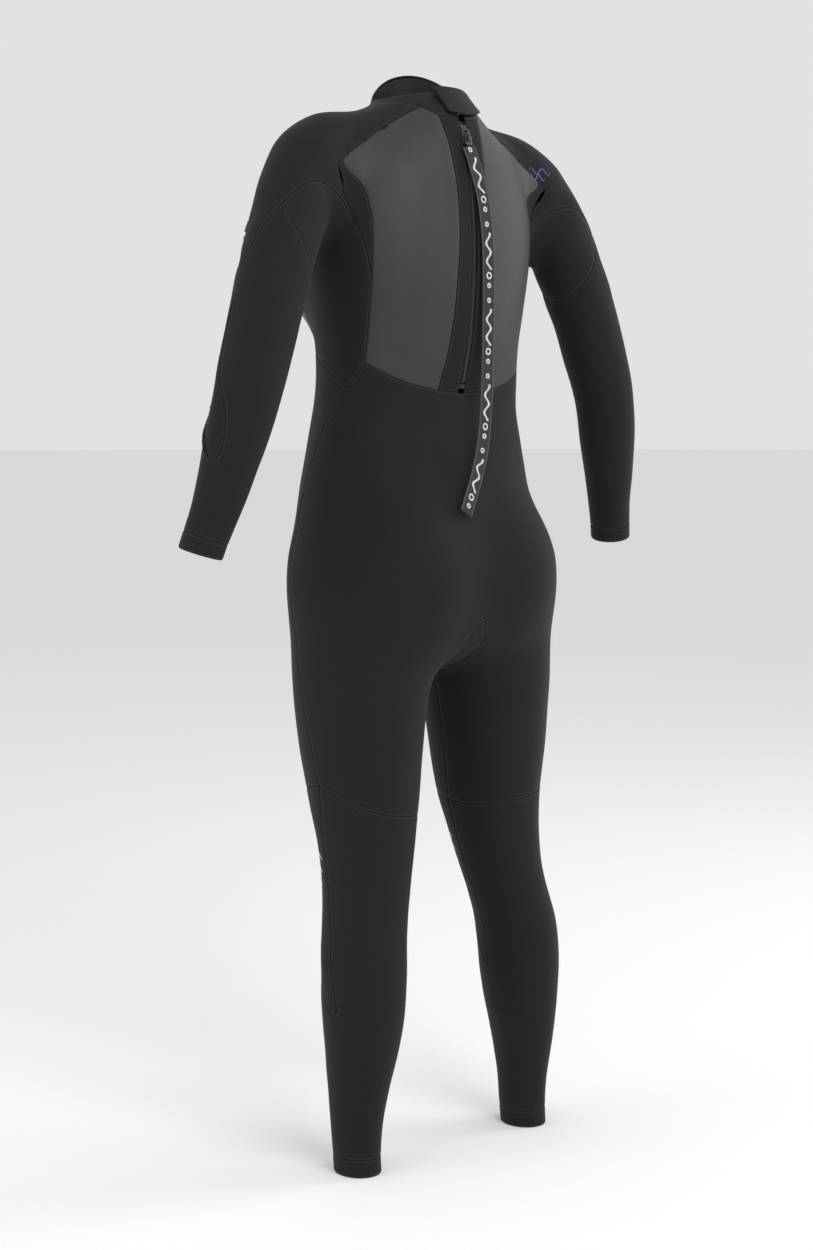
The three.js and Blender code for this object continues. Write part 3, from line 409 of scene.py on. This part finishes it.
def leash():
    line = smooth_route(LEASH_ROUTE)
    outline = strap_section()
    points, faces, along, across = [], [], [], []
    travelled = 0.0
    side = Vector((1, 0, 0))
    for i, middle in enumerate(line):
        ahead = line[min(i + 1, len(line) - 1)] - line[max(i - 1, 0)]
        ahead.normalize()
        side = (side - ahead * side.dot(ahead)).normalized()
        out = side.cross(ahead) * -1
        if out.y < 0:
            out = -out
        if i:
            travelled += (middle - line[i - 1]).length
        ripple = 1 + 0.012 * math.sin(travelled * 90)
        for s, w in outline:
            points.append(middle + side * s * LEASH_WIDTH / 2 * ripple + out * w * LEASH_WALL / 2)
            along.append(travelled)
            across.append(s)
    ring = len(outline)
    for i in range(len(line) - 1):
        for j in range(ring):
            k = (j + 1) % ring
            faces.append((i * ring + j, i * ring + k, (i + 1) * ring + k, (i + 1) * ring + j))
    faces.append(tuple(range(ring))[::-1])
    faces.append(tuple((len(line) - 1) * ring + j for j in range(ring)))
    mesh = mesh_of("leash_webbing", points, faces)
    for name, values in (("strap_along", along), ("strap_across", across)):
        mesh.attributes.new(name, "FLOAT", "POINT").data.foreach_set("value", values)
    turn_outwards(mesh)
    piece = make_piece("leash_webbing", mesh, "webbing", "pull", nodes=["leash"])
    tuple(line[0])


def turn_outwards(mesh):
    shape = bmesh.new()
    shape.from_mesh(mesh)
    bmesh.ops.recalc_face_normals(shape, faces=shape.faces)
    shape.to_mesh(mesh)
    shape.free()


leash()

# ---- The suit's outer skin, from the CAD panels ----

RIM_ANGLE = math.radians(58)
RIM_EDGE = 1.25 * WALL
CAGE_MERGE = 1.2 * MM
FAR_SIDE = 0.5
SKIN_LEVELS = 3
PULL_ROUNDS = 3
PULL_SHARE = 0.85


def face_groups(shape):
    """A slab's outer and inner faces: the two sheets that are left without its rim."""
    left = {face for face in shape.faces if min(edge.calc_length() for edge in face.edges) > RIM_EDGE}
    groups = []
    while left:
        todo = [left.pop()]
        group = []
        while todo:
            face = todo.pop()
            group.append(face)
            for edge in face.edges:
                for near in edge.link_faces:
                    if near in left:
                        left.remove(near)
                        todo.append(near)
        groups.append(group)
    return sorted(groups, key=lambda faces: -sum(face.calc_area() for face in faces))


def suit_tree():
    points, faces = [], []
    for name in PANELS:
        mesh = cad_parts[name].data
        start = len(points)
        points += [vertex.co for vertex in mesh.vertices]
        faces += [[start + i for i in face.vertices] for face in mesh.polygons]
    return BVHTree.FromPolygons(points, faces)


def faces_out(group, tree):
    """More than zero when a line drawn back from most faces meets the far side of the suit."""
    votes = 0
    for face in group:
        middle = face.calc_center_median()
        start = middle - face.normal * 2 * WALL
        votes += 1 if tree.ray_cast(start, -face.normal, FAR_SIDE)[0] else -1
    return votes / len(group)


def outer_cage():
    """One sheet of coarse cells for the whole suit. Each cell's material index is its panel."""
    tree = suit_tree()
    cage = bmesh.new()
    cage.edges.layers.float.new("crease_edge")
    for index, name in enumerate(PANELS):
        shape = bmesh.new()
        shape.from_mesh(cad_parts[name].data)
        bmesh.ops.remove_doubles(shape, verts=shape.verts, dist=SAME_POINT)
        two = face_groups(shape)[:2]
        outer = max(two, key=lambda group: faces_out(group, tree))
        made = {}
        for face in outer:
            corners = []
            for vertex in face.verts:
                if vertex not in made:
                    made[vertex] = cage.verts.new(vertex.co)
                corners.append(made[vertex])
            cage.faces.new(corners).material_index = index
        shape.free()
    bmesh.ops.remove_doubles(cage, verts=cage.verts, dist=CAGE_MERGE)
    close_zip_foot(cage)
    for edge in cage.edges:
        panels = {face.material_index for face in edge.link_faces}
        edge.seam = len(panels) > 1
    bmesh.ops.join_triangles(cage, faces=cage.faces, cmp_seam=True, cmp_materials=True,
                             angle_face_threshold=math.radians(50), angle_shape_threshold=math.radians(60))
    return cage


def touches(vertex, panel):
    """Whether one of a vertex's faces belongs to the panel with this index."""
    return any(face.material_index == panel for face in vertex.link_faces)


def close_zip_foot(cage):
    """Ties the foot of each zip strip to the waist seam, which has no corner there."""
    seat = list(PANELS).index("seat_panel")
    for name in ("zip_strip_left", "zip_strip_right"):
        strip = list(PANELS).index(name)
        rim = [v for v in cage.verts if v.is_boundary and touches(v, strip)]
        foot = min(rim, key=lambda v: v.co.z + 4 * abs(v.co.x))
        edges = [e for e in cage.edges if e.is_boundary and e.link_faces[0].material_index == seat]
        edge = min(edges, key=lambda e: (e.verts[0].co.lerp(e.verts[1].co, 0.5) - foot.co).length)
        near = min(edge.verts, key=lambda v: abs(v.co.x))
        far = edge.other_vert(near)
        share = (foot.co.x - near.co.x) / (far.co.x - near.co.x)
        if not 0.02 < share < 0.98:
            continue
        _, made = bmesh.utils.edge_split(edge, near, share)
        bmesh.ops.pointmerge(cage, verts=[foot, made], merge_co=foot.co)


def fine_skin(cage, levels, seam_crease):
    """Smooths the cage and keeps its corners where the CAD has them."""
    crease = cage.edges.layers.float.get("crease_edge")
    for edge in cage.edges:
        edge[crease] = seam_crease if edge.seam else 0.0
    mesh = bpy.data.meshes.new("skin")
    cage.to_mesh(mesh)
    count = len(mesh.vertices)
    wanted = np.empty(count * 3)
    mesh.vertices.foreach_get("co", wanted)
    moved = wanted.copy()
    for _ in range(PULL_ROUNDS):
        smooth = with_modifiers(mesh, ("SUBSURF", {"levels": 1, "boundary_smooth": "ALL"}))
        found = np.empty(len(smooth.vertices) * 3)
        smooth.vertices.foreach_get("co", found)
        moved += PULL_SHARE * (wanted - found[:count * 3])
        mesh.vertices.foreach_set("co", moved)
        mesh.update()
    return with_modifiers(mesh, ("SUBSURF", {"levels": levels, "boundary_smooth": "ALL"}))


def crisp_skin(cage, levels):
    """The smooth skin, with its seams held to the lines and corners of the cage's seams."""
    smooth = fine_skin(cage, levels, 0.0)
    crisp = fine_skin(cage, levels, 1.0)
    tree = tree_of(smooth)
    for vertex in crisp.vertices:
        near, _, _, distance = tree.find_nearest(vertex.co)
        if distance < 2 * WALL:
            vertex.co = near
    crisp.update()
    return crisp


# Creases: where each starts and ends and how far it reaches across, in metres, and its depth in mm.
FOLDS = [
    ((0.152, 0.052, 1.165), (0.215, 0.062, 1.215), 0.011, 1.6),
    ((0.141, 0.066, 1.120), (0.196, 0.070, 1.150), 0.009, 1.1),
    ((0.060, 0.110, 0.640), (0.115, 0.100, 0.628), 0.010, 0.9),
    ((0.262, 0.078, 1.000), (0.306, 0.078, 0.985), 0.010, 1.0),
    ((0.070, 0.085, 0.405), (0.140, 0.085, 0.395), 0.011, 0.8),
    ((0.078, 0.085, 0.375), (0.136, 0.088, 0.372), 0.009, 0.6),
    ((0.118, 0.096, 0.092), (0.160, 0.092, 0.086), 0.008, 0.6),
    ((0.120, 0.096, 0.064), (0.162, 0.090, 0.062), 0.008, 0.5),
]


def fold_depth(point):
    """How far the skin sinks at a point, in metres."""
    mirrored = Vector((abs(point.x), point.y, point.z))
    depth = 0.0
    for start, end, reach, deep in FOLDS:
        a = Vector(start)
        run = Vector(end) - a
        share = (mirrored - a).dot(run) / run.length_squared
        if not -0.2 < share < 1.2:
            continue
        away = (mirrored - a - run * share).length
        fade = max(0.0, 1 - (2 * share - 1) ** 2 * 0.8)
        depth += deep * MM * fade * math.exp(-(away / reach) ** 2)
    return depth


# The skin is left as it is this near to the zip, and fades into the swells over the next stretch.
CALM_RADIUS = 0.028
CALM_FADE = 0.05


def soften(mesh):
    """Slow swells and shallow creases, so that no panel is dead smooth."""
    points = [vertex.co.copy() for vertex in mesh.vertices]
    normals = [vertex.normal.copy() for vertex in mesh.vertices]
    for vertex, point, normal in zip(mesh.vertices, points, normals):
        from_zip = math.hypot(point.x, 0.6 * (point.y - 0.09))
        free = min(1.0, max(0.0, (from_zip - CALM_RADIUS) / CALM_FADE))
        if point.y < 0 or point.z < 0.95:
            free = 1.0
        floor = min(1.0, point.z / 0.03)
        swell = noise.noise(point * 11.0) * 0.9 + noise.noise(point * 27.0) * 0.35
        vertex.co = point + normal * (swell * MM - fold_depth(point)) * free * floor
        vertex.co.z = max(vertex.co.z, 0.0)
    mesh.update()


SEAM_GAP = 0.12 * MM
ROLL_RING = 0.42 * MM
ROLL_REACH = 1.5 * MM
ROLL_DEPTH = 0.9 * MM
ROLL_POWER = 2.6
RIM_STEP = 0.5 * MM
STITCH = 3.2 * MM


def panel_mesh(skin, index):
    """One panel cut from the skin, with rolled edges, its wall, and its seam lengths."""
    shape = bmesh.new()
    shape.from_mesh(skin)
    away_layer = shape.verts.layers.float.new("seam_away")
    turns_layer = shape.verts.layers.float.new("seam_turns")
    spare = [face for face in shape.faces if face.material_index != index]
    bmesh.ops.delete(shape, geom=spare, context="FACES")
    edge_gap = bmesh.ops.inset_region(shape, faces=shape.faces[:], use_boundary=True, thickness=SEAM_GAP)
    bmesh.ops.delete(shape, geom=edge_gap["faces"], context="FACES")
    bmesh.ops.inset_region(shape, faces=shape.faces[:], use_boundary=True, thickness=ROLL_RING)
    shape.normal_update()
    tree, turns = rim_points(shape)
    moves = []
    for vertex in shape.verts:
        _, nearest, away = tree.find(vertex.co)
        vertex[away_layer] = away / MM
        vertex[turns_layer] = turns[nearest]
        if away < ROLL_REACH:
            moves.append((vertex, vertex.normal * -ROLL_DEPTH * (1 - away / ROLL_REACH) ** ROLL_POWER))
    for vertex, move in moves:
        vertex.co += move
    for face in shape.faces:
        face.material_index = 0
    mesh = bpy.data.meshes.new("panel")
    shape.to_mesh(mesh)
    shape.free()
    wall = {"thickness": WALL - ROLL_DEPTH, "offset": -1.0, "use_even_offset": False}
    return with_modifiers(mesh, ("SOLIDIFY", wall))


def rim_loops(shape):
    """The rim's vertices in order, one closed loop at a time."""
    left = {vertex for vertex in shape.verts if vertex.is_boundary}
    while left:
        loop = [left.pop()]
        while True:
            ahead = [e.other_vert(loop[-1]) for e in loop[-1].link_edges if e.is_boundary]
            ahead = [vertex for vertex in ahead if vertex in left]
            if not ahead:
                break
            left.remove(ahead[0])
            loop.append(ahead[0])
        yield loop


def rim_points(shape):
    """A search tree of close points along the rim, and each one's count of stitches."""
    found, turns = [], []
    for loop in rim_loops(shape):
        travelled = 0.0
        for a, b in zip(loop, [*loop[1:], loop[0]]):
            run = b.co - a.co
            steps = max(1, math.ceil(run.length / RIM_STEP))
            for step in range(steps):
                found.append(a.co + run * step / steps)
                turns.append((travelled + run.length * step / steps) / STITCH)
            travelled += run.length
    tree = KDTree(len(found))
    for place, point in enumerate(found):
        tree.insert(point, place)
    tree.balance()
    return tree, turns


def panels():
    cage = outer_cage()
    skin = crisp_skin(cage, SKIN_LEVELS)
    cage.free()
    soften(skin)
    for index, (name, slot) in enumerate(PANELS.items()):
        mesh = panel_mesh(skin, index)
        mesh.name = f"{name}_foam"
        piece = make_piece(f"{name}_foam", mesh, slot, nodes=[name])
    return skin


skin = panels()

# ---- Zip hardware ----

BEVEL_ANGLE = math.radians(35)


def refined(node, name, slot, body, steps, look=None):
    """A CAD piece's own shape with finer edges."""
    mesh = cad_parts[node].data.copy()
    shape = bmesh.new()
    shape.from_mesh(mesh)
    bmesh.ops.remove_doubles(shape, verts=shape.verts, dist=SAME_POINT)
    bmesh.ops.dissolve_limit(shape, angle_limit=math.radians(1), verts=shape.verts, edges=shape.edges)
    shape.to_mesh(mesh)
    shape.free()
    mesh = with_modifiers(mesh, *steps)
    mesh.name = name
    make_piece(name, mesh, slot, body, look, nodes=[node])


def bevel(width, segments=3):
    """A modifier step that rounds sharp edges. The width is in millimetres."""
    size = {"width": width * MM, "segments": segments}
    return ("BEVEL", {**size, "limit_method": "ANGLE", "angle_limit": BEVEL_ANGLE})


ZIP_ARC_Y = -0.4717
ZIP_ARC_Z = 1.126
ZIP_RADIUS = 0.573
TOOTH_PITCH = 2.6 * MM


def tooth(side):
    """One moulded tooth: a foot on the tape and a rounded head that reaches past the middle."""
    outline = [(4.1, -0.55), (1.5, -0.55), (0.9, -0.95), (-0.35, -0.95), (-0.7, -0.5),
               (-0.7, 0.5), (-0.35, 0.95), (0.9, 0.95), (1.5, 0.55), (4.1, 0.55)]
    points = []
    for depth in (-2.7, -0.55):
        points += [Vector((side * x, depth, z)) * MM for x, z in outline]
    count = len(outline)
    faces = [tuple(range(count)), tuple(range(count, 2 * count))]
    for i in range(count):
        j = (i + 1) % count
        faces.append((i, j, j + count, i + count))
    return points, faces


def teeth_row(side_name, side):
    node = f"zip_teeth_{side_name}"
    low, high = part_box(node)
    start = math.asin((low.z + TOOTH_PITCH - ZIP_ARC_Z) / ZIP_RADIUS)
    end = math.asin((high.z - TOOTH_PITCH - ZIP_ARC_Z) / ZIP_RADIUS)
    count = round((end - start) * ZIP_RADIUS / TOOTH_PITCH)
    shape_points, shape_faces = tooth(side)
    points, faces = [], []
    for i in range(count):
        offset = 0.25 if side > 0 else 0.75
        angle = start + (end - start) * (i + offset) / count
        out = Vector((0, math.cos(angle), math.sin(angle)))
        up = Vector((0, -math.sin(angle), math.cos(angle)))
        middle = Vector((0, ZIP_ARC_Y, ZIP_ARC_Z)) + out * ZIP_RADIUS
        first = len(points)
        points += [middle + Vector((p.x, 0, 0)) + out * p.y + up * p.z for p in shape_points]
        faces += [[first + k for k in face] for face in shape_faces]
    mesh = mesh_of(f"teeth_row_{side_name}", points, faces)
    turn_outwards(mesh)
    mesh = with_modifiers(mesh, bevel(0.16, 1))
    mesh.name = f"teeth_row_{side_name}"
    make_piece(mesh.name, mesh, "zip_plastic", nodes=[node])


def zip_hardware():
    for side_name, side in (("left", 1), ("right", -1)):
        teeth_row(side_name, side)
        refined(f"zip_tape_{side_name}", f"tape_{side_name}", "zip_tape", "suit", [bevel(0.2, 2)])
        refined(f"top_stop_{side_name}", f"top_stop_moulded_{side_name}", "zip_plastic", "suit",
                [bevel(0.35)])
    refined("bottom_stop", "bottom_stop_moulded", "zip_plastic", "suit", [bevel(0.5)])
    refined("zip_flap", "flap_behind_zip", "jersey", "suit", [bevel(0.5)], "lining")
    refined("zip_slider", "slider_body", "zip_plastic", "slider", [bevel(0.35)])
    refined("pull_tab", "pull_moulded", "zip_plastic", "pull", [bevel(0.3)])


zip_hardware()

# ---- The collar's closure ----


def soft_slab(node, name, slot, body, edge):
    """A CAD slab with its wall kept, its faces smoothed and its edges rolled."""
    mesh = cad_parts[node].data.copy()
    shape = bmesh.new()
    shape.from_mesh(mesh)
    bmesh.ops.remove_doubles(shape, verts=shape.verts, dist=SAME_POINT)
    crease = shape.edges.layers.float.new("crease_edge")
    for line in shape.edges:
        line[crease] = edge if line.calc_face_angle(0) > RIM_ANGLE else 0.0
    bmesh.ops.join_triangles(shape, faces=shape.faces, angle_face_threshold=math.radians(25),
                             angle_shape_threshold=math.radians(60))
    shape.to_mesh(mesh)
    shape.free()
    mesh = with_modifiers(mesh, ("SUBSURF", {"levels": 3}))
    mesh.name = name
    return make_piece(name, mesh, slot, body, nodes=[node])


def closure():
    tab = soft_slab("collar_tab", "tab_foam", "collar_rubber", "tab", 0.72)
    root = soft_slab("tab_root", "tab_root_foam", "collar_rubber", "suit", 0.72)
    soft_slab("loop_patch", "loop_pile", "hook_and_loop", "suit", 0.85)
    soft_slab("hook_patch", "hook_pile", "hook_and_loop", "tab", 0.85)


closure()

# ---- Marks on the panels ----

RAY_REACH = 2.0
SHOULDER_MARK_X = -0.146
SHOULDER_MARK_Z = 1.247
KNEE_MARK_X = 0.1125
KNEE_MARK_Y = 0.028
KNEE_MARK_Z = 0.386
KNEE_MARK_TURN = 62


def faces_skin(face, tree):
    """More than zero when a face looks the same way as the skin nearest to it."""
    _, normal, _, _ = tree.find_nearest(face.calc_center_median())
    return face.normal.dot(normal)


def ribbon(name, line, width, tree, aim, look, slot):
    """A thin mark on the skin, highest in its middle. Aim gives a ray for each place in line."""
    points, faces = [], []
    hits = [tree.ray_cast(*aim(place), RAY_REACH)[0] for place in line]
    hits = [hit for hit in hits if hit is not None]
    rows = 5
    for i, middle in enumerate(hits):
        run = hits[min(i + 1, len(hits) - 1)] - hits[max(i - 1, 0)]
        _, normal, _, _ = tree.find_nearest(middle)
        side = run.cross(normal).normalized()
        taper = math.sin(math.pi * (i + 0.35) / (len(hits) - 0.3)) ** 0.5
        for r in range(rows):
            spread = (r / (rows - 1) - 0.5) * width * taper
            near, facing, _, _ = tree.find_nearest(middle + side * spread)
            crown = 0.14 * MM + 0.12 * MM * (1 - (2 * r / (rows - 1) - 1) ** 2)
            points.append(near + facing * crown)
    for i in range(len(hits) - 1):
        for r in range(rows - 1):
            a = i * rows + r
            faces.append((a, a + 1, a + rows + 1, a + rows))
    mesh = mesh_of(name, points, faces)
    shape = bmesh.new()
    shape.from_mesh(mesh)
    if sum(faces_skin(face, tree) for face in shape.faces) < 0:
        bmesh.ops.reverse_faces(shape, faces=shape.faces)
    shape.to_mesh(mesh)
    shape.free()
    mesh = with_modifiers(mesh, ("SOLIDIFY", {"thickness": 0.12 * MM, "offset": -1.0}))
    mesh.name = name
    make_piece(name, mesh, slot, "suit", look)


def marks():
    tree = tree_of(skin)
    for row, (rise, length) in enumerate(((0.0, 0.036), (-0.008, 0.026))):
        line = [i / 40 for i in range(41)]

        def aim(share, rise=rise, length=length):
            x = SHOULDER_MARK_X - length * share
            z = SHOULDER_MARK_Z + rise + 0.0035 * math.sin(share * 4 * math.pi)
            return Vector((x, 0.4, z)), Vector((0, -1, 0))

        ribbon(f"shoulder_wave_{row}", line, 1.8 * MM, tree, aim, "embroidery", "smooth_skin")
    for side_name, side in (("left", 1), ("right", -1)):
        for row in range(3):
            def aim(share, row=row, side=side):
                turn = math.radians(-KNEE_MARK_TURN + 2 * KNEE_MARK_TURN * share)
                z = KNEE_MARK_Z - 0.016 * row + 0.006 * math.sin(share * 3 * math.pi)
                middle = Vector((side * KNEE_MARK_X, KNEE_MARK_Y, z))
                away = Vector((side * math.sin(turn), -math.cos(turn), 0))
                return middle + away * 0.2, -away

            line = [i / 60 for i in range(61)]
            ribbon(f"knee_wave_{side_name}_{row}", line, (5.5 - row) * MM, tree, aim, "ink", "knee_fabric")


marks()

# ---- Floor and light ----


def stage():
    bpy.ops.mesh.primitive_plane_add(size=400, location=(0, 0, 0))
    floor = bpy.context.object
    floor.name = "floor"
    look = Look("floor_paper")
    grain = look.noise(look.place(), 60.0, 2.0)
    paper = look.mix(grain, (0.9, 0.9, 0.89), (0.92, 0.92, 0.91))
    look.set(Base_Color=paper, Roughness=0.95, Specular_IOR_Level=0.0)
    floor.data.materials.append(look.material)
    world = bpy.data.worlds.new("studio")
    world.use_nodes = True
    background = world.node_tree.nodes["Background"]
    background.inputs["Color"].default_value = (0.76, 0.76, 0.75, 1)
    background.inputs["Strength"].default_value = 1.0
    bpy.context.scene.world = world
    bpy.context.scene.view_settings.view_transform = "Standard"


def softbox(name, place, target, size, power):
    data = bpy.data.lights.new(name, "AREA")
    data.shape = "RECTANGLE"
    data.size, data.size_y = size
    data.energy = power
    light = bpy.data.objects.new(name, data)
    light.location = place
    light.rotation_euler = (Vector(target) - Vector(place)).to_track_quat("-Z", "Y").to_euler()
    bpy.context.scene.collection.objects.link(light)


stage()
softbox("key", (0.4, 3.2, 2.6), (0, 0, 0.9), (2.2, 2.2), 60)
softbox("fill", (3.0, -0.6, 1.6), (0, 0, 0.8), (1.8, 2.6), 22)
softbox("rim", (-2.6, 1.0, 2.0), (0, 0, 0.8), (1.2, 2.6), 26)

bpy.context.view_layer.update()
